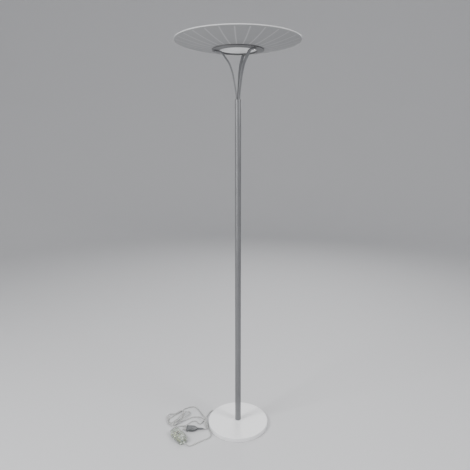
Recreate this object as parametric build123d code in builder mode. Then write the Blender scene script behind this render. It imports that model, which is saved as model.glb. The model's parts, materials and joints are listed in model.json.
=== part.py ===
from build123d import *
import os
from math import cos, pi, radians, sin, tan

# Torchiere floor lamp: a round base, a slim pole, three bent straps and a wide shallow bowl
# that throws its light up from a linear halogen bulb. A foot dimmer sits in its clear cord.
# Millimetres, +Z up, origin on the floor under the middle of the base. The front is -Y.

# ---------------------------------------------------------------- overall sizes
total_height = 1800.0          # floor to the rim of the shade
shade_radius = 275.0
shade_drop = 40.5              # rim down to the seat of the shade on the lamp ring
base_radius = 144.0
base_height = 20.0
pole_radius = 14.0
arm_rise = 199.0               # top of the pole to the middle of a strap's flat end
fit_gap = 0.1                  # between pieces that are pushed together
slide_gap = 0.35               # round the dimmer's moving knob

# ---------------------------------------------------------------- base
cover_wall = 1.5
cover_edge = 3.0
cover_skirt_gap = 1.0
felt_thickness = 1.5
felt_hole = 26.0
weight_gap = 1.0
nut_recess = 22.0
nut_recess_depth = 8.0
nipple_radius = 5.0
nipple_bore = 3.6
nipple_length = 52.0
nipple_foot = 3.0
nut_width = 17.0
nut_height = 5.0
washer_radius = 11.0
washer_thickness = 1.5
collar_radius = 24.0
collar_height = 2.5
cord_exit_angle = 143.0        # round the base from +X, at the back left
cord_exit_height = 6.0
groove_width = 9.0

# ---------------------------------------------------------------- pole
pole_wall = 1.5
pole_joint = 786.0             # height of the hairline joint between the two tubes
coupler_length = 90.0
foot_plug_length = 42.0
hub_length = 48.0

# ---------------------------------------------------------------- straps
arm_angles = {"arm_right": -48.0, "arm_rear": 72.0, "arm_left": 192.0}
arm_thickness = 4.5
arm_width_foot = 9.6
arm_width_head = 14.0
arm_start = 7.0                # radius of a strap where it leaves the pole
arm_pad_radius = 98.0          # radius of the screw in a strap's flat end
arm_pad_length = 20.0

# ---------------------------------------------------------------- lamp ring
ring_radius = 112.5
ring_wall_height = 3.0
ring_lip_radius = 84.0
ring_lip_drop = 6.5            # seat down to the lower edge of the lip
ring_upstand_wall = 3.0
ring_upstand_height = 28.5
ledge_height = 1.0             # seat up to the ledge under the lens
ledge_width = 3.0
ledge_thickness = 1.5
lens_thickness = 4.0
boss_radius = 7.0
screw_radius = 2.0
screw_head_radius = 3.8
screw_head_height = 2.4

# ---------------------------------------------------------------- shade
shade_wall = 4.0
shade_flat_radius = 108.0
shade_sag = 5.0                # how far the bowl's arc hangs under its chord
shade_hole_gap = 0.8
gasket_thickness = 1.0
clamp_ring_thickness = 2.5
glass_thickness = 3.0

# ---------------------------------------------------------------- bulb
bulb_length = 117.6
bulb_radius = 5.5
bulb_height = 17.5             # bulb's axis above the seat
bulb_end_radius = 3.6
bulb_end_length = 11.0
socket_length = 19.0
socket_width = 15.0
socket_depth = 7.0             # how deep the bulb's end sits in its socket
plunger_travel = 2.5
plunger_radius = 2.0

# ---------------------------------------------------------------- cord, dimmer and plug
cord_diameter = 5.5
cord_low = 2.8                 # axis of a cord that lies on the floor
dimmer_centre = (-276.0, -116.0)
dimmer_angle = -51.0
dimmer_length = 96.0
dimmer_width = 43.0
dimmer_height = 26.0
dimmer_wall = 2.5
dimmer_split = 11.0
dimmer_corner = 13.0
dimmer_cord_height = 9.0
nose_length = 6.0
nose_radius = 5.0
knob_length = 12.0
knob_width = 13.0
knob_height = 5.0
knob_travel = 26.0
plug_face = (-247.0, -54.0)    # where the pins leave the plug
plug_angle = 178.0
plug_width = 36.0
plug_thickness = 18.0
plug_length = 52.0
plug_tail_length = 30.0
pin_radius = 2.4
pin_length = 19.0
pin_spacing = 19.0

# ---------------------------------------------------------------- places that follow
rim_height = total_height
seat_height = rim_height - shade_drop
lip_height = seat_height - ring_lip_drop
pole_top = lip_height - arm_thickness / 2 - arm_rise
pole_bore = pole_radius - pole_wall
inner_radius = base_radius - cover_wall
upstand_radius = ring_lip_radius + ring_upstand_wall
upstand_top = seat_height + ring_upstand_height
bulb_axis = seat_height + bulb_height
cord_radius = cord_diameter / 2

os.makedirs("parts", exist_ok=True)


def save(builder, name):
    builder.part.label = name
    export_step(builder.part, "parts/" + name + ".step")


def ray(angle):
    return cos(radians(angle)), sin(radians(angle))


def upright(angle):
    """The plane through the axis of the lamp whose X points out along the angle and Y up."""
    x, y = ray(angle)
    return Plane(origin=(0, 0, 0), x_dir=(x, y, 0), z_dir=(y, -x, 0))


def outward_plane(angle, distance, height):
    """A plane that faces out along the angle, with its X level and its Y up."""
    x, y = ray(angle)
    return Plane(origin=(distance * x, distance * y, height), x_dir=(-y, x, 0), z_dir=(x, y, 0))


# ================================================================ base
groove_plane = outward_plane(cord_exit_angle, 0, 0)
exit_x, exit_y = ray(cord_exit_angle)

with BuildPart() as base_cover:
    with BuildSketch(Plane.XY.offset(cover_skirt_gap)):
        Circle(base_radius)
    extrude(amount=base_height - cover_skirt_gap)
    fillet(base_cover.edges().group_by(Axis.Z)[-1], cover_edge)
    with BuildSketch(Plane.XY.offset(cover_skirt_gap)):
        Circle(inner_radius)
    extrude(amount=base_height - cover_skirt_gap - cover_wall, mode=Mode.SUBTRACT)
    with BuildSketch(Plane.XY.offset(base_height)):
        Circle(nipple_radius + fit_gap)
    extrude(amount=-cover_wall, mode=Mode.SUBTRACT)
    with BuildSketch(groove_plane):
        with Locations((0, cord_exit_height)):
            Circle(groove_width / 2 + fit_gap)
        with Locations((0, cord_exit_height / 2)):
            Rectangle(groove_width + 2 * fit_gap, cord_exit_height)
    extrude(amount=base_radius + 1, mode=Mode.SUBTRACT)
save(base_cover, "base_cover")

weight_top = base_height - cover_wall
with BuildPart() as base_weight:
    with BuildSketch(Plane.XY.offset(felt_thickness)):
        Circle(inner_radius - weight_gap)
    extrude(amount=weight_top - felt_thickness)
    chamfer(base_weight.edges().group_by(Axis.Z)[-1], cover_edge)
    with BuildSketch(Plane.XY.offset(felt_thickness)):
        Circle(nut_recess)
    extrude(amount=nut_recess_depth, mode=Mode.SUBTRACT)
    with BuildSketch(Plane.XY.offset(felt_thickness)):
        Circle(nipple_radius + fit_gap)
    extrude(amount=base_height, mode=Mode.SUBTRACT)
    with BuildSketch(groove_plane):
        with Locations((0, cord_exit_height)):
            Circle(groove_width / 2)
        with Locations((0, cord_exit_height / 2)):
            Rectangle(groove_width, cord_exit_height)
    extrude(amount=base_radius, mode=Mode.SUBTRACT)
save(base_weight, "base_weight")

with BuildPart() as base_felt:
    with BuildSketch():
        Circle(inner_radius - weight_gap)
        Circle(felt_hole, mode=Mode.SUBTRACT)
    extrude(amount=felt_thickness)
save(base_felt, "base_felt")

nut_top = felt_thickness + nut_recess_depth - washer_thickness
with BuildPart() as foot_washer:
    with BuildSketch(Plane.XY.offset(nut_top)):
        Circle(washer_radius)
        Circle(nipple_radius + fit_gap, mode=Mode.SUBTRACT)
    extrude(amount=washer_thickness)
save(foot_washer, "foot_washer")

with BuildPart() as foot_nut:
    with BuildSketch(Plane.XY.offset(nut_top - nut_height)):
        RegularPolygon(nut_width / 2, 6, major_radius=False)
        Circle(nipple_radius + fit_gap, mode=Mode.SUBTRACT)
    extrude(amount=nut_height)
    chamfer(foot_nut.edges().filter_by(GeomType.CIRCLE), 0.4)
save(foot_nut, "foot_nut")

with BuildPart() as foot_nipple:
    with BuildSketch(Plane.XY.offset(nipple_foot)):
        Circle(nipple_radius)
        Circle(nipple_bore, mode=Mode.SUBTRACT)
    extrude(amount=nipple_length)
    chamfer(foot_nipple.edges().group_by(Axis.Z)[-1], 0.5)
save(foot_nipple, "foot_nipple")

with BuildPart() as foot_collar:
    with BuildSketch(Plane.XY.offset(base_height)):
        Circle(collar_radius)
    extrude(amount=collar_height)
    fillet(foot_collar.edges().group_by(Axis.Z)[-1], collar_height * 0.6)
    with BuildSketch(Plane.XY.offset(base_height)):
        Circle(pole_radius + fit_gap)
    extrude(amount=collar_height, mode=Mode.SUBTRACT)
save(foot_collar, "foot_collar")

# the rubber bush that the cord leaves through, with a short nose outside the skirt
bush_inside = 5.0
bush_outside = 3.0
bush_plane = outward_plane(cord_exit_angle, inner_radius, cord_exit_height)
with BuildPart() as cord_bush:
    with BuildSketch(bush_plane.offset(-bush_inside)):
        Circle(groove_width / 2 - fit_gap)
    extrude(amount=bush_inside + cover_wall + bush_outside)
    chamfer(cord_bush.edges().filter_by(GeomType.CIRCLE), 0.8)
    with BuildSketch(bush_plane.offset(-bush_inside)):
        Circle(cord_radius + fit_gap)
    extrude(amount=bush_inside + cover_wall + bush_outside, mode=Mode.SUBTRACT)
save(cord_bush, "cord_bush")

# the cord's last stretch, in the groove under the weight, held by a small saddle
flex_start = 30.0
with BuildPart() as base_flex:
    with BuildSketch(bush_plane.offset(flex_start - inner_radius)):
        Circle(cord_radius)
    extrude(amount=inner_radius - flex_start + cover_wall + bush_outside - 0.2)
save(base_flex, "base_flex")

saddle_distance = 70.0
saddle_length = 10.0
saddle_plane = outward_plane(cord_exit_angle, saddle_distance, 0)
with BuildPart() as cord_saddle:
    with BuildSketch(saddle_plane):
        with Locations((0, cord_exit_height)):
            Circle(groove_width / 2 - fit_gap)
        with Locations((0, cord_exit_height / 2 + felt_thickness / 2)):
            Rectangle(groove_width - 2 * fit_gap, cord_exit_height - felt_thickness)
        with Locations((0, cord_exit_height)):
            Circle(cord_radius + fit_gap, mode=Mode.SUBTRACT)
    extrude(amount=saddle_length)
save(cord_saddle, "cord_saddle")

# ================================================================ pole
with BuildPart() as foot_plug:
    with BuildSketch(Plane.XY.offset(base_height)):
        Circle(pole_bore - fit_gap)
        Circle(nipple_radius + fit_gap, mode=Mode.SUBTRACT)
    extrude(amount=foot_plug_length)
    chamfer(foot_plug.edges().group_by(Axis.Z)[-1], 1.0)
save(foot_plug, "foot_plug")

joint_gap = 0.3
with BuildPart() as lower_pole:
    with BuildSketch(Plane.XY.offset(base_height)):
        Circle(pole_radius)
        Circle(pole_bore, mode=Mode.SUBTRACT)
    extrude(amount=pole_joint - base_height)
    chamfer(lower_pole.edges().group_by(Axis.Z)[-1], 0.2)
save(lower_pole, "lower_pole")

with BuildPart() as upper_tube:
    with BuildSketch(Plane.XY.offset(pole_joint + joint_gap)):
        Circle(pole_radius)
        Circle(pole_bore, mode=Mode.SUBTRACT)
    extrude(amount=pole_top - pole_joint - joint_gap)
    chamfer(upper_tube.edges().group_by(Axis.Z)[0], 0.2)
    fillet(upper_tube.edges().group_by(Axis.Z)[-1], 0.5)

with BuildPart() as pole_coupler:
    with BuildSketch(Plane.XY.offset(pole_joint - coupler_length / 2)):
        Circle(pole_bore - fit_gap)
        Circle(pole_bore - 4, mode=Mode.SUBTRACT)
    extrude(amount=coupler_length)
    chamfer(pole_coupler.edges(), 0.8)
save(pole_coupler, "pole_coupler")

# the two-core lead inside the pole
with BuildPart() as pole_wire:
    with BuildSketch(Plane.XY.offset(nipple_foot + 2)):
        Circle(nipple_bore - 1.0)
    extrude(amount=pole_top - hub_length - nipple_foot - 12)
save(pole_wire, "pole_wire")

hub_bottom = pole_top - hub_length
with BuildPart() as arm_hub:
    with BuildSketch(Plane.XY.offset(hub_bottom)):
        Circle(pole_bore - fit_gap)
    extrude(amount=hub_length - 1.0)
    for angle in arm_angles.values():
        hub_x, hub_y = ray(angle)
        hub_slot = Plane(origin=(0, 0, hub_bottom + 4), x_dir=(hub_x, hub_y, 0), z_dir=(0, 0, 1))
        with BuildSketch(hub_slot):
            with Locations((arm_start, 0)):
                Rectangle(arm_thickness + 2 * fit_gap, arm_width_foot + 2 * fit_gap)
        extrude(amount=hub_length, mode=Mode.SUBTRACT)
save(arm_hub, "arm_hub")

# grub screws that hold the hub, at the back of the pole
grub_radius = 2.0
with BuildPart() as hub_screws:
    for height in (hub_bottom + 10, pole_top - 12):
        with BuildSketch(Plane(origin=(0, 0, height), x_dir=(1, 0, 0), z_dir=(0, 1, 0)).offset(pole_bore)):
            Circle(grub_radius)
            RegularPolygon(1.0, 6, mode=Mode.SUBTRACT)
        extrude(amount=pole_wall - 0.2)
with BuildPart() as upper_pole:
    add(upper_tube.part)
    for height in (hub_bottom + 10, pole_top - 12):
        with BuildSketch(Plane(origin=(0, 0, height), x_dir=(1, 0, 0), z_dir=(0, 1, 0))):
            Circle(grub_radius + fit_gap)
        extrude(amount=pole_radius + 1, mode=Mode.SUBTRACT)
save(hub_screws, "hub_screws")
save(upper_pole, "upper_pole")

# ================================================================ straps
# one strap in its own upright plane: up out of the hub, then out along a growing curve
arm_curve = [
    (arm_start + 3.0, 36.0),
    (arm_start + 7.5, 62.0),
    (arm_start + 16.0, 106.0),
    (arm_start + 26.5, 138.0),
    (arm_start + 38.5, 161.0),
    (arm_start + 55.0, 181.5),
]
arm_shares = [0.1, 0.2, 0.3, 0.4, 0.5, 0.6, 0.7, 0.8, 0.9]
arm_taper_end = 0.85           # share of the rise where a strap has reached its full width
pad_start = arm_pad_radius - arm_pad_length / 2
pad_end = arm_pad_radius + arm_pad_length / 2
pad_height = pole_top + arm_rise
arm_middle = Spline(
    [(arm_start, pole_top)] + [(r, pole_top + rise) for r, rise in arm_curve] + [(pad_start, pad_height)],
    tangents=[(0, 1), (1, 0)],
)


def strap_face(side):
    """Points along one face of the strap, half its thickness off its middle line."""
    points = []
    for share in arm_shares:
        place = arm_middle.position_at(share)
        ahead = arm_middle.tangent_at(share)
        points.append((
            place.X + side * ahead.Y * arm_thickness / 2,
            place.Y - side * ahead.X * arm_thickness / 2,
        ))
    return points


def strap(angle):
    half = arm_thickness / 2
    foot = hub_bottom + 5
    outward, sideways = ray(angle)
    ends = [(0, 1), (1, 0)]
    with BuildPart() as piece:
        with BuildSketch(upright(angle)):
            with BuildLine():
                Polyline((arm_start + half, pole_top), (arm_start + half, foot),
                         (arm_start - half, foot), (arm_start - half, pole_top))
                Spline(
                    [(arm_start - half, pole_top)] + strap_face(-1) + [(pad_start, pad_height + half)],
                    tangents=ends,
                )
                Polyline((pad_start, pad_height + half), (pad_end, pad_height + half),
                         (pad_end, pad_height - half), (pad_start, pad_height - half))
                Spline(
                    [(arm_start + half, pole_top)] + strap_face(1) + [(pad_start, pad_height - half)],
                    tangents=ends,
                )
            make_face()
        extrude(amount=arm_width_head / 2, both=True)
        with BuildSketch(outward_plane(angle, 0, 0)):
            with BuildLine():
                Polyline(
                    (-arm_width_foot / 2, hub_bottom),
                    (arm_width_foot / 2, hub_bottom),
                    (arm_width_foot / 2, pole_top),
                    (arm_width_head / 2, pole_top + arm_rise * arm_taper_end),
                    (arm_width_head / 2, rim_height),
                    (-arm_width_head / 2, rim_height),
                    (-arm_width_head / 2, pole_top + arm_rise * arm_taper_end),
                    (-arm_width_foot / 2, pole_top),
                    close=True,
                )
            make_face()
        extrude(amount=ring_radius, mode=Mode.INTERSECT)
        with BuildSketch(Plane.XY.offset(lip_height)):
            with Locations((arm_pad_radius * outward, arm_pad_radius * sideways)):
                Circle(screw_radius + 2 * fit_gap)
        extrude(amount=-2 * arm_thickness, mode=Mode.SUBTRACT)
    return piece


for arm_name, angle in arm_angles.items():
    save(strap(angle), arm_name)

screw_length = arm_thickness + 5.0
with BuildPart() as arm_screws:
    for angle in arm_angles.values():
        screw_x, screw_y = ray(angle)
        screw_plane = Plane(
            origin=(arm_pad_radius * screw_x, arm_pad_radius * screw_y, lip_height - arm_thickness)
        )
        with BuildSketch(screw_plane):
            Circle(screw_head_radius)
        extrude(amount=-screw_head_height)
        with BuildSketch(screw_plane):
            Circle(screw_radius)
        extrude(amount=screw_length)
        with BuildSketch(screw_plane.offset(-screw_head_height)):
            RegularPolygon(1.5, 6)
        extrude(amount=screw_head_height * 0.6, mode=Mode.SUBTRACT)
save(arm_screws, "arm_screws")

# ================================================================ lamp ring
ledge_top = seat_height + ledge_height
with BuildPart() as lamp_ring:
    with BuildSketch(Plane.XZ):
        with BuildLine():
            Polyline(
                (ring_lip_radius, lip_height),
                (ring_lip_radius + 2, lip_height),
                (ring_radius, seat_height - ring_wall_height),
                (ring_radius, seat_height),
                (upstand_radius, seat_height),
                (upstand_radius, upstand_top),
                (ring_lip_radius, upstand_top),
                (ring_lip_radius, ledge_top),
                (ring_lip_radius - ledge_width, ledge_top),
                (ring_lip_radius - ledge_width, ledge_top - ledge_thickness),
                (ring_lip_radius, ledge_top - ledge_thickness),
                close=True,
            )
        make_face()
    revolve(axis=Axis.Z)
    for angle in arm_angles.values():
        boss_x, boss_y = ray(angle)
        with BuildSketch(Plane.XY.offset(lip_height)):
            with Locations((arm_pad_radius * boss_x, arm_pad_radius * boss_y)):
                Circle(boss_radius)
        extrude(amount=seat_height - lip_height - 0.5)
        with BuildSketch(Plane.XY.offset(lip_height)):
            with Locations((arm_pad_radius * boss_x, arm_pad_radius * boss_y)):
                Circle(screw_radius + fit_gap)
        extrude(amount=seat_height - lip_height, mode=Mode.SUBTRACT)
save(lamp_ring, "lamp_ring")

with BuildPart() as lens_glass:
    with BuildSketch(Plane.XY.offset(ledge_top)):
        Circle(ring_lip_radius - 0.5)
    extrude(amount=lens_thickness)
    chamfer(lens_glass.edges(), 0.5)
save(lens_glass, "lens_glass")

circlip_thickness = 1.2
lens_top = ledge_top + lens_thickness
with BuildPart() as lens_circlip:
    with BuildSketch(Plane.XY.offset(lens_top)):
        Circle(ring_lip_radius - fit_gap)
        Circle(ring_lip_radius - 3, mode=Mode.SUBTRACT)
        with Locations((0, -ring_lip_radius)):
            Rectangle(14, 12, mode=Mode.SUBTRACT)
    extrude(amount=circlip_thickness)
save(lens_circlip, "lens_circlip")

# ================================================================ shade
shade_seat = seat_height + gasket_thickness
hole_radius = upstand_radius + shade_hole_gap
rim_low = (shade_radius, rim_height - shade_wall * 0.95)
bowl_middle = (
    (shade_flat_radius + rim_low[0]) / 2,
    (shade_seat + rim_low[1]) / 2 - shade_sag,
)
with BuildPart() as shade_bowl:
    with BuildSketch(Plane.XZ):
        with BuildLine():
            Line((hole_radius, shade_seat), (shade_flat_radius, shade_seat))
            ThreePointArc((shade_flat_radius, shade_seat), bowl_middle, rim_low)
            offset(amount=shade_wall, side=Side.LEFT)
        make_face()
    revolve(axis=Axis.Z)
save(shade_bowl, "shade_bowl")


def gasket(height, inside, outside):
    with BuildPart() as ring:
        with BuildSketch(Plane.XY.offset(height)):
            Circle(outside)
            Circle(inside, mode=Mode.SUBTRACT)
        extrude(amount=gasket_thickness)
    return ring


save(gasket(seat_height, upstand_radius + fit_gap, ring_radius - 6), "lower_gasket")
upper_gasket_height = shade_seat + shade_wall
save(gasket(upper_gasket_height, upstand_radius + fit_gap, shade_flat_radius - 6), "upper_gasket")

# the clamp ring holds the shade down, and three spring tabs on the upstand hold the ring
clamp_height = upper_gasket_height + gasket_thickness
with BuildPart() as clamp_ring:
    with BuildSketch(Plane.XY.offset(clamp_height)):
        Circle(shade_flat_radius - 6)
        Circle(upstand_radius + fit_gap, mode=Mode.SUBTRACT)
    extrude(amount=clamp_ring_thickness)
    chamfer(clamp_ring.edges().group_by(Axis.Z)[-1], 0.6)
save(clamp_ring, "clamp_ring")

# three spring tabs hook over the upstand and press the clamp ring down
tab_width = 16.0
tab_thickness = 1.0
with BuildPart() as clamp_tabs:
    for angle in (12.0, 132.0, 252.0):
        with BuildSketch(upright(angle)):
            with BuildLine():
                Polyline(
                    (ring_lip_radius - 0.6 - tab_thickness, upstand_top - 5),
                    (ring_lip_radius - 0.6 - tab_thickness, upstand_top + tab_thickness),
                    (upstand_radius + tab_thickness, upstand_top + tab_thickness),
                    (upstand_radius + tab_thickness + 1, clamp_height + clamp_ring_thickness + tab_thickness),
                    (shade_flat_radius - 8, clamp_height + clamp_ring_thickness + tab_thickness),
                    (shade_flat_radius - 8, clamp_height + clamp_ring_thickness),
                    (upstand_radius + 1, clamp_height + clamp_ring_thickness),
                    (upstand_radius + 0.2, upstand_top),
                    (ring_lip_radius - 0.6, upstand_top),
                    (ring_lip_radius - 0.6, upstand_top - 5),
                    close=True,
                )
            make_face()
        extrude(amount=tab_width / 2, both=True)
save(clamp_tabs, "clamp_tabs")

# ================================================================ bulb and its holder
bracket_height = lens_top + circlip_thickness + 0.8
bracket_thickness = 1.5
bracket_width = 18.0
bracket_half = ring_lip_radius - 0.4
with BuildPart() as bulb_bracket:
    with BuildSketch(Plane.XY.offset(bracket_height)):
        Rectangle(2 * bracket_half, bracket_width)
        Circle(bracket_half, mode=Mode.INTERSECT)
        Rectangle(60, bracket_width - 8, mode=Mode.SUBTRACT)
    extrude(amount=bracket_thickness)
    for side in (-1, 1):
        with BuildSketch(Plane.YZ.offset(side * (bracket_half - 3))):
            with Locations((0, bracket_height + 6)):
                Rectangle(bracket_width - 4, 12)
        extrude(amount=side * -bracket_thickness)
save(bulb_bracket, "bulb_bracket")

socket_floor = bracket_height + bracket_thickness
socket_top = bulb_axis + 6.0
socket_inner = bulb_length / 2 - socket_depth


def socket(side):
    """One ceramic socket, open towards the bulb, on its own side of the lamp."""
    with BuildPart() as block:
        with BuildSketch(Plane.XY.offset(socket_floor)):
            with Locations((side * (socket_inner + socket_length / 2), 0)):
                Rectangle(socket_length, socket_width)
        extrude(amount=socket_top - socket_floor)
        fillet(block.edges().filter_by(Axis.Z), 2.0)
        with BuildSketch(Plane.YZ.offset(side * socket_inner)):
            with Locations((0, bulb_axis)):
                Circle(bulb_end_radius + 0.4)
        extrude(amount=side * (socket_depth + plunger_travel + 3), mode=Mode.SUBTRACT)
    return block


save(socket(1), "socket_fixed")
save(socket(-1), "socket_sprung")

# the contact in the fixed socket, and the sprung one that gives way as the bulb goes in
contact_length = 2.4
with BuildPart() as fixed_contact:
    with BuildSketch(Plane.YZ.offset(bulb_length / 2)):
        with Locations((0, bulb_axis)):
            Circle(plunger_radius)
    extrude(amount=plunger_travel + 3)
save(fixed_contact, "fixed_contact")

with BuildPart() as sprung_contact:
    with BuildSketch(Plane.YZ.offset(-bulb_length / 2 - slide_gap)):
        with Locations((0, bulb_axis)):
            Circle(plunger_radius)
    extrude(amount=-contact_length)
    chamfer(sprung_contact.edges(), 0.3)
save(sprung_contact, "sprung_contact")

with BuildPart() as bulb_tube:
    with BuildSketch(Plane.YZ.offset(-bulb_length / 2 + bulb_end_length)):
        with Locations((0, bulb_axis)):
            Circle(bulb_radius)
    extrude(amount=bulb_length - 2 * bulb_end_length)
    fillet(bulb_tube.edges().filter_by(GeomType.CIRCLE), 2.5)
save(bulb_tube, "bulb_tube")

with BuildPart() as bulb_ends:
    for side in (-1, 1):
        with BuildSketch(Plane.YZ.offset(side * bulb_length / 2)):
            with Locations((0, bulb_axis)):
                Circle(bulb_end_radius)
        extrude(amount=-side * bulb_end_length)
save(bulb_ends, "bulb_ends")

with BuildPart() as safety_glass:
    with BuildSketch(Plane.XY.offset(upstand_top + tab_thickness)):
        Circle(upstand_radius)
    extrude(amount=glass_thickness)
    chamfer(safety_glass.edges(), 0.5)
save(safety_glass, "safety_glass")

# three small hooks on the upstand's outside reach over the glass
hook_width = 10.0
with BuildPart() as glass_hooks:
    for angle in (72.0, 192.0, 312.0):
        hook_top = upstand_top + tab_thickness + glass_thickness
        with BuildSketch(upright(angle)):
            with BuildLine():
                Polyline(
                    (upstand_radius + 0.1, upstand_top - 14),
                    (upstand_radius + 1.1, upstand_top - 14),
                    (upstand_radius + 1.6, hook_top + 1.0),
                    (upstand_radius - 5, hook_top + 1.0),
                    (upstand_radius - 5, hook_top),
                    (upstand_radius + 0.6, hook_top),
                    close=True,
                )
            make_face()
        extrude(amount=hook_width / 2, both=True)
save(glass_hooks, "glass_hooks")

# ================================================================ foot dimmer
along_x, along_y = ray(dimmer_angle)
dimmer_plane = Plane(origin=(*dimmer_centre, 0), x_dir=(along_x, along_y, 0), z_dir=(0, 0, 1))
end_in = Plane(
    origin=(
        dimmer_centre[0] - along_x * dimmer_length / 2,
        dimmer_centre[1] - along_y * dimmer_length / 2,
        dimmer_cord_height,
    ),
    x_dir=(-along_y, along_x, 0),
    z_dir=(-along_x, -along_y, 0),
)
end_out = Plane(
    origin=(
        dimmer_centre[0] + along_x * dimmer_length / 2,
        dimmer_centre[1] + along_y * dimmer_length / 2,
        dimmer_cord_height,
    ),
    x_dir=(-along_y, along_x, 0),
    z_dir=(along_x, along_y, 0),
)
slot_length = knob_travel + knob_length * 0.5 + 2
slot_width = 3.0
knob_place = 14.0              # middle of the knob's slot, off the box's middle line


with BuildPart() as gland_holes:
    for end in (end_in, end_out):
        with BuildSketch(end.offset(-2 * dimmer_wall)):
            Circle(nose_radius + fit_gap)
        extrude(amount=4 * dimmer_wall)

with BuildPart() as dimmer_tray:
    with BuildSketch(dimmer_plane):
        RectangleRounded(dimmer_length, dimmer_width, dimmer_corner)
    extrude(amount=dimmer_split)
    chamfer(dimmer_tray.edges().group_by(Axis.Z)[0], 0.8)
    with BuildSketch(dimmer_plane.offset(dimmer_wall)):
        RectangleRounded(
            dimmer_length - 2 * dimmer_wall, dimmer_width - 2 * dimmer_wall, dimmer_corner - dimmer_wall
        )
    extrude(amount=dimmer_split, mode=Mode.SUBTRACT)
    add(gland_holes.part, mode=Mode.SUBTRACT)
save(dimmer_tray, "dimmer_tray")

with BuildPart() as dimmer_cover:
    with BuildSketch(dimmer_plane.offset(dimmer_split)):
        RectangleRounded(dimmer_length, dimmer_width, dimmer_corner)
    extrude(amount=dimmer_height - dimmer_split)
    fillet(dimmer_cover.edges().group_by(Axis.Z)[-1], 2.2)
    with BuildSketch(dimmer_plane.offset(dimmer_split)):
        RectangleRounded(
            dimmer_length - 2 * dimmer_wall, dimmer_width - 2 * dimmer_wall, dimmer_corner - dimmer_wall
        )
    extrude(amount=dimmer_height - dimmer_split - dimmer_wall, mode=Mode.SUBTRACT)
    with BuildSketch(dimmer_plane.offset(dimmer_height)):
        with Locations((knob_place, 0)):
            Rectangle(slot_length, slot_width)
    extrude(amount=-dimmer_wall, mode=Mode.SUBTRACT)
    add(gland_holes.part, mode=Mode.SUBTRACT)
save(dimmer_cover, "dimmer_cover")

board_height = 6.5
board_thickness = 1.6
with BuildPart() as dimmer_board:
    with BuildSketch(dimmer_plane.offset(board_height)):
        Rectangle(dimmer_length - 22, dimmer_width - 8)
    extrude(amount=board_thickness)
save(dimmer_board, "dimmer_board")

parts_base = board_height + board_thickness
with BuildPart() as dimmer_choke:
    with BuildSketch(dimmer_plane.offset(parts_base)):
        with Locations((-22, 8)):
            Circle(8)
            Circle(3.5, mode=Mode.SUBTRACT)
    extrude(amount=8.5)
    fillet(dimmer_choke.edges().filter_by(GeomType.CIRCLE).group_by(Axis.Z)[-1], 1.5)
save(dimmer_choke, "dimmer_choke")

with BuildPart() as dimmer_heatsink:
    with BuildSketch(dimmer_plane.offset(parts_base)):
        with Locations((-4, 12)):
            Rectangle(20, 2)
        with Locations((-13, 9.5), (-4, 9.5), (5, 9.5)):
            Rectangle(2, 5)
    extrude(amount=12)
save(dimmer_heatsink, "dimmer_heatsink")

with BuildPart() as dimmer_capacitor:
    with BuildSketch(dimmer_plane.offset(parts_base)):
        with Locations((-20, -9)):
            RectangleRounded(18, 8, 1.0)
    extrude(amount=11)
    fillet(dimmer_capacitor.edges().group_by(Axis.Z)[-1], 0.8)
save(dimmer_capacitor, "dimmer_capacitor")

track_height = 8.0
with BuildPart() as slider_track:
    with BuildSketch(dimmer_plane.offset(parts_base)):
        with Locations((knob_place, 0)):
            Rectangle(slot_length + 8, 9)
    extrude(amount=track_height)
    with BuildSketch(dimmer_plane.offset(parts_base + 2)):
        with Locations((knob_place, 0)):
            Rectangle(slot_length, slot_width)
    extrude(amount=track_height, mode=Mode.SUBTRACT)
save(slider_track, "slider_track")

# the knob rests at the low end of its travel, the end nearer the wall plug's lead
knob_rest = knob_place + knob_travel / 2
stem_width = slot_width - 2 * slide_gap
with BuildPart() as dimmer_knob:
    with BuildSketch(dimmer_plane.offset(dimmer_height + slide_gap)):
        with Locations((knob_rest, 0)):
            RectangleRounded(knob_length, knob_width, 2.0)
    extrude(amount=knob_height)
    fillet(dimmer_knob.edges().group_by(Axis.Z)[-1], 1.2)
    with BuildSketch(dimmer_plane.offset(parts_base + 2 + slide_gap)):
        with Locations((knob_rest, 0)):
            Rectangle(knob_length * 0.4, stem_width)
    extrude(amount=dimmer_height - parts_base - 2)
save(dimmer_knob, "dimmer_knob")


def nose(end):
    """A cord gland of the dimmer, from inside its wall to a short nose outside."""
    with BuildPart() as gland:
        with BuildSketch(end.offset(-2 * dimmer_wall)):
            Circle(nose_radius)
        extrude(amount=2 * dimmer_wall + nose_length)
        chamfer(gland.edges().filter_by(GeomType.CIRCLE), 1.0)
        with BuildSketch(end.offset(-2 * dimmer_wall)):
            Circle(cord_radius - 0.5)
        extrude(amount=2 * dimmer_wall + nose_length, mode=Mode.SUBTRACT)
    return gland


save(nose(end_in), "dimmer_gland_in")
save(nose(end_out), "dimmer_gland_out")

post_inset = 8.5
with BuildPart() as dimmer_posts:
    for corner_x in (-1, 1):
        for corner_y in (-1, 1):
            place = (
                corner_x * (dimmer_length / 2 - post_inset), corner_y * (dimmer_width / 2 - post_inset)
            )
            with BuildSketch(dimmer_plane.offset(dimmer_wall)):
                with Locations(place):
                    Circle(2.2)
                    Circle(1.2, mode=Mode.SUBTRACT)
            extrude(amount=dimmer_height - 2 * dimmer_wall)
save(dimmer_posts, "dimmer_posts")

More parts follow.
